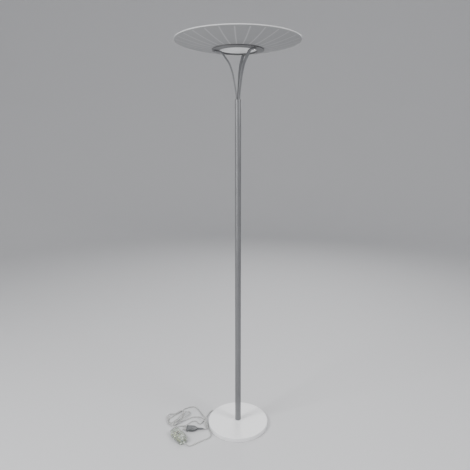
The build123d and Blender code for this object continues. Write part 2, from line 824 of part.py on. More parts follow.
# ================================================================ plug
plug_x, plug_y = ray(plug_angle)
plug_plane = Plane(
    origin=(*plug_face, plug_thickness / 2), x_dir=(-plug_y, plug_x, 0), z_dir=(plug_x, plug_y, 0)
)
with BuildPart() as plug_body:
    with BuildSketch(plug_plane) as plug_front:
        SlotOverall(plug_width, plug_thickness)
    with BuildSketch(plug_plane.offset(-plug_length * 0.4)):
        SlotOverall(plug_width * 0.86, plug_thickness * 0.92)
    with BuildSketch(plug_plane.offset(-plug_length * 0.75)):
        SlotOverall(plug_width * 0.72, plug_thickness * 0.8)
    with BuildSketch(plug_plane.offset(-plug_length)):
        SlotOverall(plug_width * 0.42, plug_thickness * 0.62)
    loft()
save(plug_body, "plug_body")

with BuildPart() as plug_pins:
    with BuildSketch(plug_plane):
        with Locations((-pin_spacing / 2, 0), (pin_spacing / 2, 0)):
            Circle(pin_radius)
    extrude(amount=pin_length)
    fillet(plug_pins.edges().filter_by(GeomType.CIRCLE).sort_by(Axis.X)[:2], 1.5)
save(plug_pins, "plug_pins")

with BuildPart() as plug_tail:
    with BuildSketch(plug_plane.offset(-plug_length)):
        Circle(plug_thickness * 0.28)
    with BuildSketch(plug_plane.offset(-plug_length - plug_tail_length)):
        Circle(cord_radius + 0.8)
    loft()
save(plug_tail, "plug_tail")

# ================================================================ cord
# Each stretch is straight runs joined by arcs; the points are its corners.
bush_end = inner_radius + cover_wall + bush_outside
lead_start = (bush_end * exit_x, bush_end * exit_y, cord_exit_height)
gland_in_end = (
    dimmer_centre[0] - along_x * (dimmer_length / 2 + nose_length),
    dimmer_centre[1] - along_y * (dimmer_length / 2 + nose_length),
    dimmer_cord_height,
)
gland_out_end = (
    dimmer_centre[0] + along_x * (dimmer_length / 2 + nose_length),
    dimmer_centre[1] + along_y * (dimmer_length / 2 + nose_length),
    dimmer_cord_height,
)
tail_end = (
    plug_face[0] - plug_x * (plug_length + plug_tail_length),
    plug_face[1] - plug_y * (plug_length + plug_tail_length),
    plug_thickness / 2,
)

lamp_lead_points = [
    lead_start,
    (-127.5, 96.0, 4.5),
    (-140.0, 91.0, cord_low),
    (-149.0, 70.0, cord_low),
    (-158.0, 42.0, cord_low),
    (-168.0, 16.0, cord_low),
    (-176.0, -1.0, cord_low),
    (-180.5, -9.5, cord_low),
    (-187.5, -12.5, cord_low),
    (-194.5, -7.5, cord_low),
    (-203.0, 6.0, cord_low),
    (-218.0, 11.5, cord_low),
    (-234.0, 1.0, cord_low),
    (-247.0, -18.0, cord_low),
    (-264.0, -27.0, cord_low),
    (-284.0, -31.0, 5.0),
    (-302.0, -42.0, 8.0),
    (-313.0, -59.0, dimmer_cord_height),
    gland_in_end,
]

main_lead_points = [
    gland_out_end,
    (-232.0, -170.0, 6.0),
    (-216.0, -170.0, cord_low),
    (-192.0, -152.0, cord_low),
    (-162.0, -132.0, cord_low),
    (-136.0, -117.0, cord_low),
    (-126.5, -100.0, cord_low),
    (-127.5, -83.0, cord_low),
    (-134.5, -64.0, cord_low),
    (-144.0, -37.0, cord_low),
    (-151.5, -14.0, 6.0),
    (-157.0, 4.0, 12.0),
    (-166.0, 28.0, 12.0),
    (-176.0, 50.0, 6.0),
    (-189.0, 77.0, cord_low),
    (-203.0, 103.0, cord_low),
    (-215.0, 120.0, cord_low),
    (-231.0, 130.0, cord_low),
    (-250.0, 127.0, cord_low),
    (-270.0, 115.0, cord_low),
    (-288.0, 97.0, cord_low),
    (-303.0, 76.0, cord_low),
]

plug_lead_points = [
    (-279.0, 2.0, cord_low),
    (-259.0, 20.0, cord_low),
    (-236.0, 38.0, cord_low),
    (-213.0, 46.0, cord_low),
    (-194.0, 38.0, 6.0),
    (-180.0, 23.0, 12.0),
    (-167.0, 3.0, 12.0),
    (-158.0, -18.0, 6.0),
    (-151.0, -36.0, 4.0),
    (-147.5, -47.0, 5.0),
    (-152.0, -56.0, 7.0),
    tail_end,
]


def corner_radii(points):
    """The largest arc that 0.45 of the shorter run beside each corner allows."""
    radii = []
    for before, corner, after in zip(points, points[1:], points[2:]):
        run_in = Vector(corner) - Vector(before)
        run_out = Vector(after) - Vector(corner)
        turn = radians(run_in.get_angle(run_out))
        radii.append(0.45 * min(run_in.length, run_out.length) / tan(turn / 2))
    return radii


def cord_tube(points, label):
    radii = corner_radii(points)
    print(label, "radii", [round(radius) for radius in radii])
    start = Vector(points[0])
    with BuildPart() as tube:
        with BuildLine() as path:
            FilletPolyline(*points, radius=radii)
        with BuildSketch(Plane(origin=points[0], z_dir=Vector(points[1]) - start)):
            Circle(cord_radius)
        sweep(transition=Transition.ROUND)
    length = path.wires()[0].length
    print(label, "length", round(length), "volume share",
          round(tube.part.volume / (length * pi * cord_radius**2), 4))
    return tube


save(cord_tube(lamp_lead_points, "cord_lamp_lead"), "cord_lamp_lead")
save(cord_tube(main_lead_points, "cord_main_lead"), "cord_main_lead")
save(cord_tube(plug_lead_points, "cord_plug_lead"), "cord_plug_lead")

# the loose hank between the two, as one closed slab of its outer shape
hank_height = 18.0
hank_outline = [
    (-281.0, 96.0),
    (-242.0, 84.0),
    (-238.0, 66.0),
    (-262.0, 30.0),
    (-292.0, -14.0),
    (-310.0, -33.0),
    (-330.0, -33.0),
    (-348.0, -14.0),
    (-361.0, 34.0),
    (-350.0, 60.0),
    (-330.0, 68.0),
    (-306.0, 80.0),
]
with BuildPart() as cord_hank:
    with BuildSketch():
        with BuildLine():
            Polyline(*hank_outline, close=True)
        make_face()
    extrude(amount=hank_height)
save(cord_hank, "cord_hank")
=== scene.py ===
# %% [markdown]
# # A torchiere floor lamp
# The lamp is a round weighted base, a slim pole and three bent straps that carry a wide,
# shallow bowl of frosted glass. A linear halogen bulb in the bowl lights the ceiling. A clear
# cord runs over the floor through a clear slide dimmer to a smoky plug.
# The CAD model already holds every rigid part at its true size, so this lesson keeps those
# parts, gives them finishes, and models the pieces whose looks need more than a solid.

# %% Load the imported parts
import bpy
import bmesh
import json
from math import cos, pi, radians, sin, tau
from mathutils import Matrix, Vector


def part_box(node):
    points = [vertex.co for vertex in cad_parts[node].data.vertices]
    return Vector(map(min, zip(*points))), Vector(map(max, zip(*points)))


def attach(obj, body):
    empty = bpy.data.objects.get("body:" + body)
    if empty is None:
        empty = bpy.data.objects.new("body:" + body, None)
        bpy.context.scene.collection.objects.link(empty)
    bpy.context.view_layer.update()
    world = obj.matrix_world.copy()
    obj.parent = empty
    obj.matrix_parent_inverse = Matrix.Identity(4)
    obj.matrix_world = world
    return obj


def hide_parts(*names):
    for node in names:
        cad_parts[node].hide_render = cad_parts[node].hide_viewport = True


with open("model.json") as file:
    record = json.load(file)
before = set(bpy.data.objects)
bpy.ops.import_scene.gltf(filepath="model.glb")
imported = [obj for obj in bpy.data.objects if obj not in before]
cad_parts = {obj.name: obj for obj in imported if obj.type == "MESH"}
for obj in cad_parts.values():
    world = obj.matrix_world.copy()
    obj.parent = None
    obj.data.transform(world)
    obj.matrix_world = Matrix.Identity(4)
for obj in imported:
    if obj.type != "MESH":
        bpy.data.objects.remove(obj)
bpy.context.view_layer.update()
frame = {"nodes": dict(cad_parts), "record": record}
nodes = frame["nodes"]

# %% [markdown]
# The eye stands about two metres in front of the lamp, a little above the middle of the pole,
# and looks slightly down. That is why the underside of the bowl and the top of the base both
# show. A small lens shift frames the lamp without tilting the camera any further.

# %% Camera
def link(thing):
    """Puts an object in the scene."""
    bpy.context.scene.collection.objects.link(thing)
    return thing


camera_data = bpy.data.cameras.new("eye")
camera_data.sensor_width = 36.0
camera_data.lens = 33.72
camera_data.shift_x = -0.0064
camera_data.shift_y = -0.0532
camera = link(bpy.data.objects.new("eye", camera_data))
camera.location = (0.0, -1.982, 1.369)
camera.rotation_euler = (radians(81.17), 0.0, 0.0)
bpy.context.scene.camera = camera
print("camera at", tuple(camera.location))

# %% [markdown]
# The mains cord is one length of clear vinyl that lies where it falls. It leaves the dimmer,
# runs past the base, turns back into a loose hank of three turns, and comes out again to the
# plug. A curve with one NURBS spline suits it: its control points are the route's corners,
# and the spline rounds them as a soft cord rounds them. The heights keep each strand on the
# floor, except where it climbs over another. The routes are in millimetres, as they are in
# the CAD model, and all other sizes here are in metres unless a comment says otherwise.

# %% Routes of the two cords
cord_diameter = 0.0055
lamp_route = (
    (-117.4, 88.5, 6.0), (-127.5, 96.0, 4.5), (-140.0, 91.0, 2.8), (-149.0, 70.0, 2.8),
    (-158.0, 42.0, 2.8), (-168.0, 16.0, 2.8), (-176.0, -1.0, 2.8), (-180.5, -9.5, 2.8),
    (-187.5, -12.5, 2.8), (-194.5, -7.5, 2.8), (-203.0, 6.0, 2.8), (-218.0, 11.5, 2.8),
    (-234.0, 1.0, 2.8), (-247.0, -18.0, 2.8), (-264.0, -27.0, 2.8), (-284.0, -31.0, 5.0),
    (-302.0, -42.0, 8.0), (-313.0, -59.0, 9.0), (-309.98, -74.03, 9.0),
)
from_dimmer = (
    (-242.02, -157.97, 9.0), (-232.0, -170.0, 6.0), (-216.0, -170.0, 2.8),
    (-192.0, -152.0, 2.8), (-162.0, -132.0, 2.8), (-136.0, -117.0, 2.8),
    (-126.5, -100.0, 2.8), (-127.5, -83.0, 2.8), (-134.5, -64.0, 2.8),
    (-144.0, -37.0, 2.8), (-151.5, -14.0, 6.0), (-157.0, 4.0, 12.0),
    (-166.0, 28.0, 12.0), (-176.0, 50.0, 6.0), (-189.0, 77.0, 2.8),
    (-203.0, 103.0, 2.8), (-215.0, 120.0, 2.8), (-231.0, 130.0, 2.8),
    (-250.0, 127.0, 2.8), (-270.0, 115.0, 2.8), (-288.0, 97.0, 2.8), (-303.0, 76.0, 2.8),
)
hank_first_turn = (
    (-324.0, 53.0, 2.8), (-335.0, 39.0, 2.8), (-344.0, 26.0, 2.8), (-343.0, 10.0, 2.8),
    (-334.0, -2.0, 2.8), (-322.0, -6.0, 2.8), (-310.0, 2.0, 2.8), (-293.0, 19.0, 2.8),
    (-281.0, 33.0, 2.8), (-276.0, 53.0, 4.0), (-277.0, 70.0, 8.6), (-280.0, 84.0, 8.6),
    (-289.0, 88.0, 8.6),
)
hank_second_turn = (
    (-299.0, 80.0, 8.9), (-309.0, 66.0, 9.1), (-322.0, 58.0, 8.6), (-338.0, 62.0, 8.6),
    (-351.0, 52.0, 8.6), (-355.0, 36.0, 8.6), (-350.0, 14.0, 8.6), (-342.0, -6.0, 6.0),
    (-333.0, -20.0, 3.5), (-319.0, -28.0, 2.8), (-305.0, -20.0, 3.0),
)
hank_third_turn = (
    (-291.0, -5.0, 4.5), (-278.0, 17.0, 8.6), (-262.0, 39.0, 9.0), (-247.0, 57.0, 7.0),
    (-242.0, 70.0, 6.0), (-246.0, 80.0, 6.0), (-256.0, 82.0, 8.0), (-266.0, 73.0, 11.0),
    (-275.0, 60.0, 14.0), (-282.0, 45.0, 14.4), (-288.0, 30.0, 14.4), (-297.0, 12.0, 14.4),
    (-309.0, -3.0, 14.4), (-319.0, -13.0, 13.0), (-320.0, -23.0, 12.0),
    (-311.0, -28.0, 11.0), (-299.0, -18.0, 11.0), (-285.0, -3.0, 9.0),
)
to_plug = (
    (-269.0, 10.0, 5.0), (-255.0, 22.0, 3.2), (-236.0, 38.0, 2.8), (-214.0, 45.0, 2.8),
    (-194.0, 38.0, 6.0), (-180.0, 23.0, 12.0), (-167.0, 3.0, 12.0), (-158.0, -18.0, 6.0),
    (-151.0, -36.0, 4.0), (-147.5, -47.0, 5.0), (-152.0, -56.0, 7.0), (-165.05, -56.86, 9.0),
)
mains_route = from_dimmer + hank_first_turn + hank_second_turn + hank_third_turn + to_plug


def metres(point):
    return tuple(number / 1000 for number in point)


def new_curve(name, radius, roundness):
    """A round curve without splines yet; a higher roundness gives more sides."""
    curve = bpy.data.curves.new(name, "CURVE")
    curve.dimensions = "3D"
    curve.resolution_u = 6
    curve.bevel_depth = radius
    curve.bevel_resolution = roundness
    return curve


def add_spline(curve, places):
    """One smooth spline, whose order is set once its control points are there."""
    spline = curve.splines.new("NURBS")
    spline.points.add(len(places) - 1)
    for control, place in zip(spline.points, places):
        control.co = (*place, 1.0)
    spline.order_u = 3
    spline.use_endpoint_u = True


def lay_cord(name, route):
    """A curve of one smooth spline, as thick as the cord."""
    curve = new_curve(name, cord_diameter / 2, 3)
    curve.use_fill_caps = True
    add_spline(curve, [metres(point) for point in route])
    return link(bpy.data.objects.new(name, curve))


lamp_lead = lay_cord("lamp_lead", lamp_route)
mains_lead = lay_cord("mains_lead", mains_route)
print(len(lamp_route), "and", len(mains_route), "control points")


# %% [markdown]
# The floor is a round studio cove: a plain disc whose edge curves up into a wall, so that no
# horizon shows from any side. A profile spun once round makes it. The light is what a small
# studio has: two softboxes high at the front, left and right, a weak one behind, a low one
# that reaches under the bowl, and a pale surround. The front pair throws the pole's two faint
# shadows over the base.

# %% Floor, lights and surround
def new_object(name, shape):
    """Turns a bmesh into an object whose place is in its mesh."""
    mesh = bpy.data.meshes.new(name)
    shape.to_mesh(mesh)
    shape.free()
    return link(bpy.data.objects.new(name, mesh))


cove_radius = 4.2
cove_bend = 2.4
cove_top = 6.0
bend_steps = 12
floor_steps = 96
cove_profile = [(0.0, 0.0), (cove_radius, 0.0)]
for step in range(1, bend_steps + 1):
    turn = step / bend_steps * pi / 2
    cove_profile.append((cove_radius + cove_bend * sin(turn), cove_bend * (1 - cos(turn))))
cove_profile.append((cove_radius + cove_bend, cove_top))


def spun(profile, steps):
    """A bmesh of a profile of (radius, height) points, spun once round the lamp's axis."""
    shape = bmesh.new()
    line = [shape.verts.new((radius, 0.0, height)) for radius, height in profile]
    edges = [shape.edges.new(pair) for pair in zip(line, line[1:])]
    bmesh.ops.spin(
        shape, geom=line + edges, cent=(0, 0, 0), axis=(0, 0, 1), angle=tau, steps=steps,
        use_merge=True,
    )
    bmesh.ops.remove_doubles(shape, verts=shape.verts, dist=1e-6)
    return shape


floor = new_object("floor", spun(cove_profile, floor_steps))
for face in floor.data.polygons:
    face.use_smooth = True

softboxes = {
    "left": ((-2.3, -1.5, 2.7), 1.1, 108.0),
    "right": ((2.3, -1.5, 2.7), 1.1, 88.0),
    "back": ((0.6, 2.6, 2.6), 2.0, 40.0),
    "low": ((-2.1, -2.2, 1.0), 1.2, 26.0),
}
middle = Vector((0.0, 0.0, 0.9))
for name, (place, width, power) in softboxes.items():
    light_data = bpy.data.lights.new(name, "AREA")
    light_data.size = width
    light_data.energy = power
    light = link(bpy.data.objects.new(name, light_data))
    light.location = place
    light.rotation_euler = (middle - Vector(place)).to_track_quat("-Z", "Y").to_euler()
world = bpy.data.worlds.new("surround")
world.use_nodes = True
surround = world.node_tree.nodes["Background"].inputs
surround["Color"].default_value = (0.86, 0.87, 0.89, 1.0)
surround["Strength"].default_value = 0.8
bpy.context.scene.world = world
print(len(softboxes), "softboxes")

# %% [markdown]
# A finish is a Principled shader with a few patterns on it. The patterns are sums: a noise
# times a strength, one minus a mask, and so on. Drawing such sums node by node is slow, so a
# small class lets a socket be used in ordinary Python arithmetic.

# %% Sums on sockets
class Value:
    """One output socket of a finish, which can be used in sums."""

    def __init__(self, finish, socket):
        self.finish = finish
        self.socket = socket

    def maths(self, operation, *terms):
        return self.finish.node("Math", {"operation": operation}, dict(enumerate(terms)))

    def __add__(self, other):
        return self.maths("ADD", self, other)

    def __sub__(self, other):
        return self.maths("SUBTRACT", self, other)

    def __rsub__(self, other):
        return self.maths("SUBTRACT", other, self)

    def __mul__(self, other):
        return self.maths("MULTIPLY", self, other)

    def __pow__(self, other):
        return self.maths("POWER", self, other)

    def __abs__(self):
        return self.maths("ABSOLUTE", self)

    __radd__ = __add__
    __rmul__ = __mul__


class Finish:
    """A material with one Principled shader."""

    def __init__(self, name, colour, **fixed):
        self.material = bpy.data.materials.new(name)
        self.material.use_nodes = True
        self.tree = self.material.node_tree
        self.shader = self.tree.nodes["Principled BSDF"]
        self.material.diffuse_color = (*colour, 1.0)
        self.set("Base Color", (*colour, 1.0))
        for socket, value in fixed.items():
            self.set(socket.replace("_", " ").title().replace("Ior", "IOR"), value)

    def set(self, socket, value):
        self.join(self.shader.inputs[socket], value)

    def join(self, socket, value):
        if isinstance(value, Value):
            self.tree.links.new(value.socket, socket)
        else:
            socket.default_value = value

    def node(self, kind, settings=None, values=None, output=0):
        """Any node: its settings come first, then the values or links of its sockets."""
        made = self.tree.nodes.new("ShaderNode" + kind)
        for name, setting in (settings or {}).items():
            setattr(made, name, setting)
        for name, value in (values or {}).items():
            self.join(made.inputs[name], value)
        return Value(self, made.outputs[output])

    def place(self):
        return self.node("TexCoord", output="Object")

    def axes(self):
        """The x, y and z of the place, as three values."""
        split = self.node("SeparateXYZ", values={"Vector": self.place()})
        outputs = split.socket.node.outputs
        return [Value(self, outputs[axis]) for axis in "XYZ"]

    def stretched(self, scale):
        """The place, scaled by a different amount along each axis."""
        return self.node("Mapping", {"vector_type": "POINT"}, {
            "Vector": self.place(), "Scale": scale,
        })

    def noise(self, scale, detail=2.0, place=None):
        return self.node("TexNoise", values={
            "Vector": place or self.place(), "Scale": scale, "Detail": detail,
        })

    def mask(self, value, low, high):
        """0 below low, 1 above high, smooth between."""
        return self.node("MapRange", {"interpolation_type": "SMOOTHSTEP"}, {
            "Value": value, "From Min": low, "From Max": high,
        })

    def tint(self, mask, first, second):
        """A colour that goes from first to second with the mask."""
        return self.node("Mix", {"data_type": "RGBA"}, {
            0: mask, 6: (*first, 1.0), 7: (*second, 1.0),
        }, output=2)

    def bump(self, height, distance, strength):
        self.set("Normal", self.node("Bump", values={
            "Height": height, "Distance": distance, "Strength": strength,
        }))


def lighter(colour, share):
    """The colour, lighter by a share of itself, or darker where the share is negative."""
    return tuple(min(1.0, part * (1 + share)) for part in colour)


print("sums ready")

# %% [markdown]
# Most of the metal is sprayed: a white lacquer on the base, metallic greys on the pole and
# the straps, and a less metallic one on the ring that carries the bowl. Sprayed paint is never
# quite even. It could be a picture of paint, but two noises do it better at any distance: a
# fine one for the metal flakes or the dust in the coat, and a broad faint one for its
# thickness. A very small bump gives the orange peel that breaks up the highlights. Plated
# metal has fine turned lines instead, and moulded plastic the grain of its mould.

# %% Painted, plated and moulded finishes
def paint(name, colour, flake, metallic, roughness, coat):
    """Sprayed paint: flake is how much the fine speckle changes its colour."""
    made = Finish(name, colour, metallic=metallic, coat_weight=coat, coat_roughness=0.18)
    speckle = made.noise(1400.0, 2.0)
    cloud = made.noise(9.0, 3.0)
    shade = speckle * 0.65 + cloud * 0.35
    made.set("Base Color", made.tint(
        made.mask(shade, 0.32, 0.68), lighter(colour, -flake), lighter(colour, flake),
    ))
    made.set("Roughness", speckle * 0.10 + cloud * 0.08 + (roughness - 0.09))
    made.bump(made.noise(420.0, 1.0), 0.00006, 0.35)
    return made.material


def plated(name, colour, roughness, along=(40.0, 40.0, 900.0)):
    """Plated or turned metal, with fine lines across the axis that along stretches."""
    made = Finish(name, colour, metallic=1.0)
    lines = made.noise(1.0, 3.0, made.stretched(along))
    made.set("Base Color", made.tint(lines, lighter(colour, -0.12), lighter(colour, 0.10)))
    made.set("Roughness", lines * 0.16 + (roughness - 0.08))
    made.bump(lines, 0.00004, 0.4)
    return made.material


def moulded(name, colour, roughness, grain=600.0, **fixed):
    """Moulded plastic or rubber, with the fine grain of its mould."""
    made = Finish(name, colour, **fixed)
    grit = made.noise(grain, 2.0)
    made.set("Base Color", made.tint(
        made.noise(30.0, 2.0), lighter(colour, -0.06), lighter(colour, 0.06),
    ))
    made.set("Roughness", grit * 0.14 + (roughness - 0.07))
    made.bump(grit, 0.00005, 0.4)
    return made.material


finishes = {
    "white_lacquer": paint("white_lacquer", (0.80, 0.80, 0.81), 0.02, 0.0, 0.38, 0.25),
    "pole_grey": paint("pole_grey", (0.165, 0.168, 0.174), 0.12, 0.45, 0.36, 0.15),
    "strap_grey": paint("strap_grey", (0.17, 0.173, 0.18), 0.12, 0.35, 0.38, 0.12),
    "ring_grey": paint("ring_grey", (0.165, 0.167, 0.17), 0.12, 0.20, 0.42, 0.10),
    "zinc_steel": plated("zinc_steel", (0.55, 0.56, 0.58), 0.34),
    "bright_steel": plated("bright_steel", (0.72, 0.72, 0.73), 0.22),
    "turned_aluminium": plated("turned_aluminium", (0.66, 0.66, 0.67), 0.30),
    "contact_brass": plated("contact_brass", (0.70, 0.55, 0.24), 0.25),
    "pin_nickel": plated("pin_nickel", (0.70, 0.69, 0.66), 0.18, (900.0, 40.0, 40.0)),
    "grey_nylon": moulded("grey_nylon", (0.17, 0.17, 0.175), 0.55),
    "wire_sleeve": moulded("wire_sleeve", (0.62, 0.61, 0.56), 0.50),
    "gasket_rubber": moulded("gasket_rubber", (0.02, 0.02, 0.02), 0.62),
    "socket_ceramic": moulded("socket_ceramic", (0.78, 0.76, 0.71), 0.66, 900.0),
    "capacitor_cream": moulded("capacitor_cream", (0.80, 0.77, 0.62), 0.35),
    "tinned_core": plated("tinned_core", (0.42, 0.40, 0.37), 0.38, (300.0, 300.0, 300.0)),
    "track_white": moulded("track_white", (0.80, 0.80, 0.77), 0.40),
}
print(len(finishes), "painted, plated and moulded finishes")

# %% [markdown]
# The weight under the base is rough cast iron, and the ring that it stands on is pressed
# felt. Both need a rough bump: the iron a lumpy one, the felt a mat of short fibres.

# %% Iron and felt
iron = Finish("weight_iron", (0.05, 0.05, 0.053), metallic=0.7)
lumps = iron.noise(160.0, 6.0)
iron.set("Base Color", iron.tint(lumps, (0.03, 0.03, 0.032), (0.08, 0.075, 0.07)))
iron.set("Roughness", lumps * 0.2 + 0.6)
iron.bump(lumps, 0.0006, 0.8)

felt = Finish("felt", (0.035, 0.035, 0.037))
fibres = felt.noise(900.0, 4.0, felt.stretched((1.0, 0.35, 1.0)))
felt.set("Base Color", felt.tint(fibres, (0.02, 0.02, 0.022), (0.07, 0.07, 0.074)))
felt.set("Roughness", fibres * 0.1 + 0.88)
felt.bump(fibres, 0.0005, 0.9)
finishes["weight_iron"] = iron.material
finishes["felt"] = felt.material
print("iron and felt ready")

# %% [markdown]
# The bowl is thick grey glass, etched so that it glows softly rather than shows what is
# behind it, with 28 lighter lines that fan out from the middle. The lines can be worked out
# from the angle round the bowl: the sine of 14 times the angle is zero on each line, and
# times the radius it turns into a distance from the line.

# %% Frosted glass of the bowl
bowl_lines = 28
line_turn = radians(-92.8)
line_half_width = 0.0026
lines_start = 0.112
lines_end = 0.264
rim_starts = 0.2722
line_fade = 0.004
rim_fade = 0.0012

frosted = Finish(
    "frosted_glass", (0.33, 0.335, 0.34), transmission_weight=0.22, ior=1.5,
    specular_ior_level=0.45,
)
across, deep, _ = frosted.axes()
radius = (across * across + deep * deep) ** 0.5
angle = frosted.node("Math", {"operation": "ARCTAN2"}, {0: deep, 1: across})
wave = frosted.node("Math", {"operation": "SINE"}, {
    0: (angle - line_turn) * (bowl_lines / 2),
})
from_line = abs(wave) * radius * (2 / bowl_lines)
on_line = 1 - frosted.mask(from_line, line_half_width * 0.55, line_half_width * 1.5)
within = frosted.mask(radius, lines_start, lines_start + line_fade) * (
    1 - frosted.mask(radius, lines_end, lines_end + line_fade))
line_mask = on_line * within
grain = frosted.noise(900.0, 3.0)
mottle = frosted.noise(55.0, 4.0)
# Along the rim the colour is lighter: a painted highlight of the polished edge. The lower
# roughness there is the real polish.
edge = frosted.mask(radius, rim_starts, rim_starts + rim_fade)
bowl_pattern_and_rim_highlight = line_mask * 0.42 + grain * 0.22 + mottle * 0.12 + edge * 0.8
frosted.set("Base Color", frosted.tint(bowl_pattern_and_rim_highlight, (0.31, 0.313, 0.32), (0.62, 0.625, 0.63)))
frosted.set("Roughness", 0.62 - line_mask * 0.16 - edge * 0.38 + grain * 0.08)
frosted.bump(grain * 0.7 + line_mask * 0.5, 0.0002, 0.5)
finishes["frosted_glass"] = frosted.material
print(bowl_lines, "lines on the bowl")

# %% [markdown]
# The lens under the bulb is opal, the disc over it and the bulb itself are clear. The cord,
# the dimmer's box and its knob are clear plastic, and the plug is a smoky one. Real clear
# vinyl is a little cloudy, so each has some roughness, and its cloud varies over the piece.

# %% Clear and opal finishes
def see_through(name, colour, passed, roughness, cloud=0.06, **fixed):
    """Clear material: passed is the share of light that goes through it."""
    made = Finish(name, colour, transmission_weight=passed, **fixed)
    haze = made.noise(120.0, 3.0)
    made.set("Base Color", made.tint(haze, lighter(colour, -cloud), lighter(colour, cloud)))
    made.set("Roughness", haze * 0.08 + roughness)
    made.bump(made.noise(200.0, 1.0), 0.00004, 0.3)
    return made.material


finishes.update({
    # The opal lens has a faint emission: a painted glow that stands in for the light passing
    # through it from above.
    "opal_glass": see_through(
        "opal_glass", (0.90, 0.91, 0.92), 0.10, 0.22, 0.02, emission_strength=0.10, ior=1.5,
    ),
    "clear_glass": see_through("clear_glass", (0.93, 0.96, 0.95), 0.96, 0.0, 0.01, ior=1.45),
    "quartz": see_through("quartz", (0.96, 0.96, 0.96), 0.94, 0.02, 0.01, ior=1.45),
    "clear_cord": see_through("clear_cord", (0.80, 0.81, 0.80), 0.62, 0.06, ior=1.4),
    "clear_plastic": see_through(
        "clear_plastic", (0.84, 0.87, 0.82), 0.85, 0.03, 0.03, ior=1.3,
    ),
    "knob_clear": see_through("knob_clear", (0.86, 0.88, 0.85), 0.6, 0.12, ior=1.4),
    "plug_grey": see_through("plug_grey", (0.15, 0.155, 0.16), 0.40, 0.16, 0.10, ior=1.45),
})
print(len(finishes), "finishes so far")

# %% [markdown]
# Inside the dimmer is a yellow-green circuit board with tracks on it, and a choke, a ring of
# dark ferrite wound with enamelled wire. The tracks could be modelled, but they are a
# fraction of a millimetre high, so cells of a Voronoi pattern stand in for them. The winding
# is a wave round the ring's own middle.

# %% Circuit board and choke
dimmer_middle = Vector((-0.276, -0.116, 0.0))
dimmer_turn = radians(-51.0)
choke_windings = 44.0

board = Finish("board_green", (0.20, 0.26, 0.04), coat_weight=0.6, coat_roughness=0.12)
cells = board.node("TexVoronoi", {"feature": "DISTANCE_TO_EDGE"}, {
    "Vector": board.place(), "Scale": 260.0,
})
tracks = 1 - board.mask(cells, 0.05, 0.12)
board.set("Base Color", board.tint(tracks, (0.19, 0.25, 0.035), (0.36, 0.42, 0.10)))
board.set("Roughness", 0.45 - tracks * 0.1)
board.bump(tracks, 0.00005, 0.6)
finishes["board_green"] = board.material

to_dimmer = Matrix.Rotation(dimmer_turn, 3, "Z")
choke_place = dimmer_middle + to_dimmer @ Vector((-0.022, 0.008, 0.0))
choke = Finish("choke_dark", (0.10, 0.05, 0.02), coat_weight=0.5, coat_roughness=0.15)
across, deep, _ = choke.axes()
around = choke.node("Math", {"operation": "ARCTAN2"}, {
    0: deep - choke_place.y, 1: across - choke_place.x,
})
waves = choke.node("Math", {"operation": "SINE"}, {0: around * choke_windings})
windings = waves * 0.5 + 0.5
choke.set("Base Color", choke.tint(windings, (0.03, 0.014, 0.008), (0.33, 0.15, 0.05)))
choke.set("Roughness", 0.5 - windings * 0.2)
choke.bump(windings, 0.0003, 0.9)
finishes["choke_dark"] = choke.material
print("board and choke ready")

# %% [markdown]
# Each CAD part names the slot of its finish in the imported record, so a loop can dress them
# all. Only the material changes: their shapes and places stay as they are. The floor gets
# a pale, faintly uneven stone.

# %% Dress the CAD parts and the floor
slot_of = {part["node"]: part["material_slot"] for part in frame["record"]["subparts"]}
for name, part in nodes.items():
    part.data.materials.clear()
    part.data.materials.append(finishes[slot_of[name]])
stone = Finish("studio_floor", (0.54, 0.54, 0.55))
stone.set("Roughness", stone.noise(6.0, 3.0) * 0.1 + 0.5)
floor.data.materials.append(stone.material)
print(len(nodes), "parts dressed")

# %% [markdown]
# Every new piece needs the same three things: a finish, a body of the model to ride on, and,
# where it stands in for CAD parts, those parts hidden. One helper does all three. The
# two cords come first, and stand for the CAD model's four stretches of cord.

# %% The cords ride with the lamp
def add_piece(piece, slot, body="lamp", stands_for=()):
    """Gives a new piece its finish and its body, and hides the parts that it stands for."""
    if not piece.data.materials:
        piece.data.materials.append(finishes[slot])
    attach(piece, body)
    if stands_for:
        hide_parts(*stands_for)
    return piece


add_piece(lamp_lead, "clear_cord", stands_for=["cord_lamp_lead"])
add_piece(
    mains_lead, "clear_cord", stands_for=["cord_main_lead", "cord_hank", "cord_plug_lead"],
)

# %% [markdown]
# Through the clear vinyl the two tinned cores show, twisted round each other. They are two
# thin tubes that wind round the cord's own line, whose points are read back from its spline.

# %% Twisted cores in the cords
twist_length = 0.030
core_offset = 0.00095
core_radius = 0.0007


def line_of(cord):
    """The points down the middle of a cord, as its spline gives them."""
    bare = bpy.data.objects.new("bare_line", cord.data.copy())
    bare.data.bevel_depth = 0.0
    flat = bpy.data.meshes.new_from_object(bare)
    points = [vertex.co.copy() for vertex in flat.vertices]
    bpy.data.meshes.remove(flat)
    bpy.data.objects.remove(bare)
    return points


def wind_cores(cord):
    """Two strands that wind round a cord's line, half a turn apart."""
    line = line_of(cord)
    curve = new_curve(cord.name + "_cores", core_radius, 1)
    for start in (0.0, pi):
        strand = curve.splines.new("POLY")
        strand.points.add(len(line) - 1)
        travelled = 0.0
        for index, point in enumerate(line):
            before = line[max(index - 1, 0)]
            ahead = line[min(index + 1, len(line) - 1)] - before
            travelled += (point - before).length
            side = ahead.cross(Vector((0, 0, 1))).normalized()
            up = side.cross(ahead).normalized()
            turn = start + tau * travelled / twist_length
            place = point + (side * cos(turn) + up * sin(turn)) * core_offset
            strand.points[index].co = (*place, 1.0)
    cores = link(bpy.data.objects.new(curve.name, curve))
    curve.materials.append(finishes["tinned_core"])
    print(cores.name, "follow", len(line), "points")
    return cores


lamp_cores = add_piece(wind_cores(lamp_lead), "clear_cord")
mains_cores = add_piece(wind_cores(mains_lead), "clear_cord")

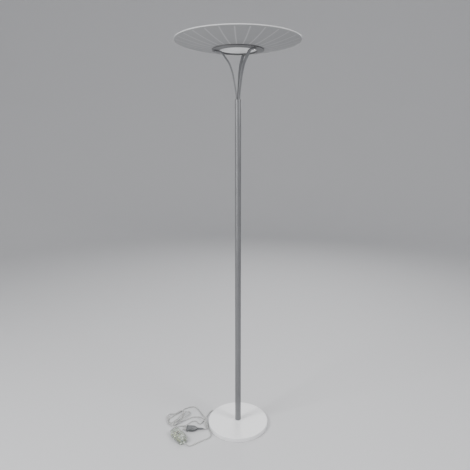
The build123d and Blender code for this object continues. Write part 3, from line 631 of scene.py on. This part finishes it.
# %% [markdown]
# The plug is one flat moulding of smoky vinyl: a broad front that carries the pins, finger
# grips across its sides, and shoulders that draw in to the cord. It could be carved from a
# box, but it is easier to stack outlines along its axis and bridge them. Each outline is a
# circle whose two halves are pulled apart into a slot shape.

# %% Plug
plug_face = Vector((-0.247, -0.054, 0.009))
plug_turn = radians(178.0)
ahead = Vector((cos(plug_turn), sin(plug_turn), 0.0))
plug_frame = Matrix((
    (-ahead.y, 0.0, ahead.x, plug_face.x),
    (ahead.x, 0.0, ahead.y, plug_face.y),
    (0.0, 1.0, 0.0, plug_face.z),
    (0.0, 0.0, 0.0, 1.0),
))
grip_grooves = 5
groove_spacing = 4.6
# Each outline is (place on the axis, width, thickness) in millimetres, from the front back.
plug_outlines = [(0.0, 32.0, 14.0), (-0.7, 34.6, 16.4), (-2.2, 36.0, 17.6), (-9.0, 36.0, 17.6)]
for groove in range(grip_grooves):
    start = -10.0 - groove * groove_spacing
    plug_outlines += [
        (start, 34.8, 17.4), (start - 1.0, 32.6, 16.8),
        (start - 2.0, 32.6, 16.8), (start - 3.0, 34.6, 17.3),
    ]
plug_outlines += [
    (-34.0, 34.0, 17.2), (-38.0, 31.0, 16.6), (-42.0, 26.0, 15.6), (-46.0, 20.5, 14.2),
    (-49.5, 16.4, 12.4), (-51.4, 14.0, 11.2), (-52.0, 12.0, 10.0),
]


def slot_ring(shape, along, width, thickness, sides=32):
    """A ring of vertices in the outline of a slot, in millimetres, at a place on the axis."""
    ring = bmesh.ops.create_circle(shape, segments=sides, radius=thickness / 2000)["verts"]
    pull = (width - thickness) / 2000
    for vertex in ring:
        shift = pull if vertex.co.x > 1e-6 else -pull if vertex.co.x < -1e-6 else 0.0
        vertex.co += Vector((shift, 0.0, along / 1000))
    return list(dict.fromkeys(edge for vertex in ring for edge in vertex.link_edges))


def stacked(outlines):
    """A closed skin through a stack of slot outlines."""
    shape = bmesh.new()
    rings = [slot_ring(shape, *outline) for outline in outlines]
    for lower, upper in zip(rings, rings[1:]):
        bmesh.ops.bridge_loops(shape, edges=lower + upper)
    for end in (rings[0], rings[-1]):
        bmesh.ops.edgeloop_fill(shape, edges=end)
    return shape


def finished(name, shape, turn=None):
    """Puts a shape in its place, points its faces outwards and shades it smooth."""
    if turn is not None:
        bmesh.ops.transform(shape, matrix=turn, verts=shape.verts)
    bmesh.ops.recalc_face_normals(shape, faces=shape.faces)
    made = new_object(name, shape)
    for face in made.data.polygons:
        face.use_smooth = True
    return made


plug_shell = finished("plug_shell", stacked(plug_outlines), plug_frame)
add_piece(plug_shell, "plug_grey", stands_for=["plug_body"])
print("plug skin has", len(plug_shell.data.polygons), "faces")

# %% [markdown]
# Behind the plug the cord is held by a tapered sleeve with rings cut into it, so that it
# bends in a long curve. A profile spun round the axis gives the sleeve and its rings at once.

# %% Strain relief of the plug, in millimetres
relief_start = 51.5
relief_end = 82.0
relief_rings = 7
relief_spacing = (relief_end - relief_start - 2.0) / relief_rings
relief_profile = [(0.0, -relief_start), (4.2, -relief_start)]
for ring in range(relief_rings):
    start = relief_start + 1.0 + ring * relief_spacing
    outer = 5.0 - 1.5 * ring / relief_rings
    relief_profile += [
        (outer - 0.7, -start), (outer - 0.7, -start - 1.2),
        (outer, -start - 1.7), (outer - 0.1, -start - 3.4), (outer - 0.7, -start - 3.9),
    ]
relief_profile += [(3.2, -relief_end), (0.0, -relief_end)]
relief_profile = [(across / 1000, along / 1000) for across, along in relief_profile]
plug_relief = finished("plug_relief", spun(relief_profile, 24), plug_frame)
add_piece(plug_relief, "plug_grey", stands_for=["plug_tail"])
print(relief_rings, "rings on the strain relief")

# %% [markdown]
# The dimmer's box is clear, so what is on its board shows, such as a fuse and a few
# resistors. A resistor is a small dog bone and the fuse a tube with metal caps, so each is a
# spun profile, laid on its side.

# %% Pieces on the dimmer's board, in millimetres
dimmer_frame = Matrix.Translation(dimmer_middle) @ Matrix.Rotation(dimmer_turn, 4, "Z")
on_its_side = Matrix.Rotation(pi / 2, 4, "Y")
board_top = 8.1
resistor_lift = 1.35
fuse_lift = 2.7


def laid(profile, places, height):
    """Copies of a spun profile, lying along the dimmer, in one bmesh. All in millimetres."""
    shape = bmesh.new()
    for across, deep in places:
        one = spun([(radius / 1000, along / 1000) for radius, along in profile], 16)
        spot = Matrix.Translation((across / 1000, deep / 1000, height / 1000))
        bmesh.ops.transform(one, matrix=spot @ on_its_side, verts=one.verts)
        copy = bpy.data.meshes.new("copy")
        one.to_mesh(copy)
        one.free()
        shape.from_mesh(copy)
        bpy.data.meshes.remove(copy)
    return shape


resistor_profile = (
    (0.0, -6.0), (0.3, -6.0), (0.3, -3.4), (0.9, -3.2), (1.25, -2.6), (1.25, -1.6),
    (1.0, -1.2), (1.0, 1.2), (1.25, 1.6), (1.25, 2.6), (0.9, 3.2), (0.3, 3.4), (0.3, 6.0),
    (0.0, 6.0),
)
fuse_profile = (
    (0.0, -10.0), (2.3, -10.0), (2.6, -9.6), (2.6, -5.6), (2.3, -5.3), (2.3, 5.3),
    (2.6, 5.6), (2.6, 9.6), (2.3, 10.0), (0.0, 10.0),
)
resistor_places = ((0.0, -9.5), (13.0, -9.5), (26.0, -9.5), (6.0, -14.0))
resistors = finished(
    "dimmer_resistors", laid(resistor_profile, resistor_places, board_top + resistor_lift),
    dimmer_frame,
)
add_piece(resistors, "capacitor_cream")
fuse_places = ((24.0, 11.0),)
fuse = finished(
    "dimmer_fuse", laid(fuse_profile, fuse_places, board_top + fuse_lift), dimmer_frame,
)
add_piece(fuse, "pin_nickel")
print(len(resistor_places), "resistors and a fuse")

# %% [markdown]
# Inside each nose of the dimmer the cord ends in a brown and a blue wire, which rise and then
# dip to the board. They are short soft curves, so each is a spline like the cord's, and the
# two wires of one colour share a curve.

# %% Wires inside the dimmer
wire_radius = 0.0006
wire_colours = {"brown": ((0.12, 0.045, 0.02), 1), "blue": ((0.02, 0.06, 0.22), -1)}
for colour_name, (colour, side) in wire_colours.items():
    finish_name = "wire_" + colour_name
    finishes[finish_name] = moulded(finish_name, colour, 0.35)
    curve = new_curve("dimmer_wires_" + colour_name, wire_radius, 1)
    for end in (-1, 1):
        corners = (
            (end * 44.0, side * 1.0, 9.2), (end * 41.5, side * 1.4, 9.6),
            (end * 39.0, side * 3.5, 12.5), (end * 36.5, side * 6.0, 12.5),
            (end * 34.5, side * 6.5, 10.5), (end * 34.5, side * 6.5, 8.2),
        )
        add_spline(curve, [dimmer_frame @ Vector(metres(corner)) for corner in corners])
    curve.materials.append(finishes[finish_name])
    wires = link(bpy.data.objects.new(curve.name, curve))
    add_piece(wires, "wire_sleeve")
print("two colours of wire")

# %% [markdown]
# The knob has four ribs for a finger or a foot to grip. Each is a cube stretched into a bar
# with its edges bevelled. The knob slides, so the ribs ride on the knob's body and not on the
# lamp's, and move with it.

# %% Ribs on the knob, in millimetres
knob_top = 31.35
knob_middle = 27.0
rib_length, rib_width, rib_height, rib_bevel = 9.0, 0.9, 0.6, 0.25
ribs = bmesh.new()
rib_steps = (-3.0, -1.0, 1.0, 3.0)
for step in rib_steps:
    bar = bmesh.ops.create_cube(ribs, size=1.0)["verts"]
    size = Matrix.Diagonal((rib_width / 1000, rib_length / 1000, 2 * rib_height / 1000, 1.0))
    spot = Matrix.Translation(metres((knob_middle + step, 0.0, knob_top)))
    bmesh.ops.transform(ribs, matrix=spot @ size, verts=bar)
bmesh.ops.bevel(
    ribs, geom=ribs.edges[:], offset=rib_bevel / 1000, offset_type="OFFSET", affect="EDGES",
    segments=2, profile=0.5, material=-1,
)
knob_ribs = finished("knob_ribs", ribs, dimmer_frame)
add_piece(knob_ribs, "knob_clear", body="knob")

# %% [markdown]
# The bulb is a quartz tube with a tungsten filament, a tight coil of thin wire along its
# axis. A helix is a curve whose points go round as they go along.

# %% Filament
bulb_low, bulb_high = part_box("bulb_tube")
bulb_axis = (bulb_low + bulb_high) / 2
filament_length = 0.078
filament_radius = 0.0008
filament_turns = 52
filament_points = filament_turns * 8
filament_wire = 0.00016
filament_curve = new_curve("bulb_filament", filament_wire, 0)
coil = filament_curve.splines.new("POLY")
coil.points.add(filament_points)
for index, point in enumerate(coil.points):
    share = index / filament_points
    turn = tau * filament_turns * share
    point.co = (
        bulb_axis.x + (share - 0.5) * filament_length,
        bulb_axis.y + filament_radius * cos(turn),
        bulb_axis.z + filament_radius * sin(turn), 1.0,
    )
filament = link(bpy.data.objects.new("bulb_filament", filament_curve))
add_piece(filament, "bright_steel")
print(filament_turns, "turns in the filament")

# %% [markdown]
# Last, the first point of each cord's route is worked out in metres.

metres(lamp_route[0])
metres(mains_route[0])
